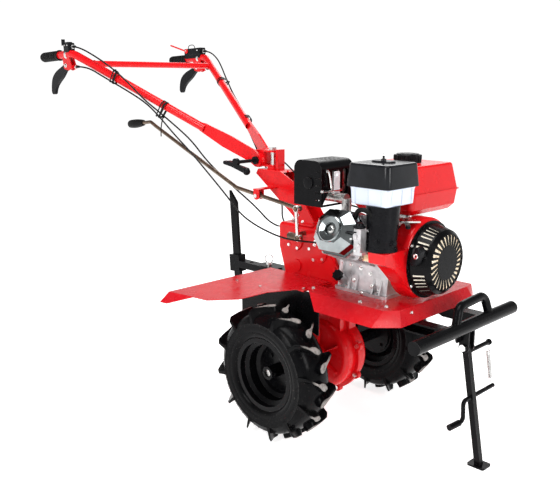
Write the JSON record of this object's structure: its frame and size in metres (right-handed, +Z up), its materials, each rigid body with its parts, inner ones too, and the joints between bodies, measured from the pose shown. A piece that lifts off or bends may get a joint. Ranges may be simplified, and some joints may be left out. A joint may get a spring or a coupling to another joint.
{
  "type": "tiller",
  "caption": "Walk-behind two-wheel tiller with an engine over the axle, steel chassis, lugged tyres, folding stand, drag bar hitch and swinging handlebar.",
  "frame": {"origin": "on the floor, under the middle of the bounding box", "axes": "+X forward to the stand, +Y to the left, +Z up"},
  "size_m": [1.7707, 0.9746, 1.213],
  "materials": {
    "red_paint": "gloss bright red powder coat",
    "black_paint": "satin black paint",
    "zinc": "bright zinc plate",
    "steel": "bare steel",
    "bronze_steel": "dark brown steel rod",
    "aluminium": "as cast",
    "polished_cover": "polished pressing",
    "tyre": "tyre rubber, lug tops greyed",
    "rubber": "moulded rubber",
    "black_plastic": "black moulded plastic",
    "grey_plastic": "dark grey moulded plastic",
    "clear_bowl": "cloudy white plastic"
  },
  "bodies": {
    "machine": {"gearbox_left": "red_paint", "gearbox_right": "red_paint", "transmission_case": "red_paint", "body_bolts": "zinc", "frame": "black_paint", "bumper": "black_paint", "tray": "red_paint", "fender_left": "red_paint", "fender_right": "red_paint", "fender_stays": "black_paint", "hitch_bracket": "black_paint", "crankcase": "aluminium", "cylinder_head": "aluminium", "head_cover": "polished_cover", "shroud": "red_paint", "starter_cover": "black_paint", "fuel_tank": "red_paint", "control_bracket": "zinc", "air_bowl": "clear_bowl", "intake_duct": "black_plastic", "carburettor": "aluminium", "muffler": "steel", "muffler_guard": "black_paint", "column": "red_paint", "throttle_cable": "rubber", "clutch_cables": "rubber", "control_cable": "rubber"},
    "axle": {"axle_shaft": "steel", "hub_left": "black_paint", "hub_right": "black_paint", "rim_left": "black_paint", "rim_right": "black_paint", "tyre_left": "tyre", "tyre_right": "tyre", "wheel_bolts": "zinc"},
    "fan": {"flywheel_fan": "aluminium"},
    "pull_handle": {"starter_handle": "black_plastic"},
    "oil_cap": {"oil_plug": "black_plastic"},
    "tank_cap": {"fuel_cap": "black_plastic"},
    "air_cover": {"air_lid": "grey_plastic"},
    "speed_control": {"speed_lever": "black_plastic"},
    "stand": {"stand_leg": "black_paint", "stand_pedal": "black_paint", "stand_spring": "zinc"},
    "hitch_bar": {"drawbar": "black_paint"},
    "depth_bar": {"drag_bar": "black_paint"},
    "pin": {"hitch_pin": "zinc"},
    "head": {"swing_head": "red_paint"},
    "handle": {"handlebar": "red_paint", "grips": "rubber", "control_boxes": "black_plastic"},
    "left_clutch": {"clutch_lever_left": "black_plastic"},
    "right_clutch": {"clutch_lever_right": "black_plastic"},
    "throttle": {"throttle_lever": "black_plastic"},
    "control": {"control_lever": "red_paint"},
    "clamp": {"clamp_lever": "black_plastic"},
    "shifter": {"shift_lever": "bronze_steel", "shift_knob": "rubber"},
    "link": {"shift_link": "zinc"},
    "selector": {"selector_arm": "bronze_steel"}
  },
  "joints": [
    {"name": "axle_spin", "type": "hinge", "parent": "machine", "child": "axle", "pos_m": [0.31, 0, 0.2075], "axis": [0, 1, 0], "continuous": true},
    {"name": "fan_spin", "type": "hinge", "parent": "machine", "child": "fan", "pos_m": [0.515, 0, 0.572], "axis": [1, 0, 0], "continuous": true},
    {"name": "starter_pull", "type": "slide", "parent": "machine", "child": "pull_handle", "axis": [0, -1, 0], "range_m": [0, 0.25], "stiffness_N_per_m": 40},
    {"name": "oil_plug_turn", "type": "hinge", "parent": "machine", "child": "oil_cap", "pos_m": [0.436, -0.112, 0.5], "axis": [0, -0.8, 0.6], "range_deg": [-180, 0]},
    {"name": "fuel_cap_turn", "type": "hinge", "parent": "machine", "child": "tank_cap", "pos_m": [0.542, 0.062, 0.85], "axis": [0, 0, 1], "range_deg": [0, 90]},
    {"name": "air_lid_lift", "type": "slide", "parent": "machine", "child": "air_cover", "axis": [0, 0, 1], "range_m": [0, 0.12]},
    {"name": "speed_lever_turn", "type": "hinge", "parent": "machine", "child": "speed_control", "pos_m": [0.636, -0.066, 0.686], "axis": [0, 0, 1], "range_deg": [0, 45]},
    {"name": "stand_fold", "type": "hinge", "parent": "machine", "child": "stand", "pos_m": [0.795, 0.018, 0.34], "axis": [0, 1, 0], "range_deg": [0, 90], "deforming": ["stand_spring"]},
    {"name": "drawbar_swing", "type": "hinge", "parent": "machine", "child": "hitch_bar", "pos_m": [0.026, 0, 0.424], "axis": [0, 0, 1], "range_deg": [-20, 20]},
    {"name": "drag_bar_depth", "type": "slide", "parent": "hitch_bar", "child": "depth_bar", "axis": [-0.0698, 0, 0.9976], "range_m": [-0.05, 0.08]},
    {"name": "hitch_pin_pull", "type": "slide", "parent": "machine", "child": "pin", "axis": [0, 0, 1], "range_m": [0, 0.06]},
    {"name": "handle_swing", "type": "hinge", "parent": "machine", "child": "head", "pos_m": [0.048, 0, 0.811], "axis": [0, 0, 1], "range_deg": [-30, 30], "deforming": ["throttle_cable", "clutch_cables", "control_cable"]},
    {"name": "handle_tilt", "type": "hinge", "parent": "head", "child": "handle", "pos_m": [0.006, 0, 0.804], "axis": [0, 1, 0], "range_deg": [-12, 10]},
    {"name": "left_clutch_squeeze", "type": "hinge", "parent": "handle", "child": "left_clutch", "pos_m": [-0.708, 0.303, 1.116], "axis": [0, 1, 0], "range_deg": [0, 24], "stiffness_Nm_per_rad": 1, "springref_deg": -5.73},
    {"name": "right_clutch_squeeze", "type": "hinge", "parent": "handle", "child": "right_clutch", "pos_m": [-0.708, -0.303, 1.116], "axis": [0, 1, 0], "range_deg": [0, 24], "stiffness_Nm_per_rad": 1, "springref_deg": -5.73},
    {"name": "throttle_turn", "type": "hinge", "parent": "handle", "child": "throttle", "pos_m": [-0.692, -0.303, 1.197], "axis": [0, 0, 1], "range_deg": [-20, 50]},
    {"name": "control_turn", "type": "hinge", "parent": "handle", "child": "control", "pos_m": [-0.764, 0.285, 1.183], "axis": [0, 1, 0], "range_deg": [-20, 30]},
    {"name": "clamp_turn", "type": "hinge", "parent": "handle", "child": "clamp", "pos_m": [0.006, 0, 0.804], "axis": [0, 1, 0], "range_deg": [-60, 20]},
    {"name": "shift_swing", "type": "hinge", "parent": "machine", "child": "shifter", "pos_m": [0.087, -0.105, 0.702], "axis": [0, 1, 0], "range_deg": [-3.5, 3.5]},
    {"name": "link_pivot", "type": "hinge", "parent": "shifter", "child": "link", "pos_m": [0.264, -0.112, 0.68], "axis": [0, 1, 0], "range_deg": [-5, 5]},
    {"name": "selector_turn", "type": "hinge", "parent": "machine", "child": "selector", "pos_m": [0.232, -0.105, 0.59], "axis": [0, 1, 0], "range_deg": [-16, 16]}
  ],
  "couplings": [
    {"joint": "link_pivot", "follows": "shift_swing", "ratio": -1.244},
    {"joint": "selector_turn", "follows": "shift_swing", "ratio": 4.376}
  ]
}
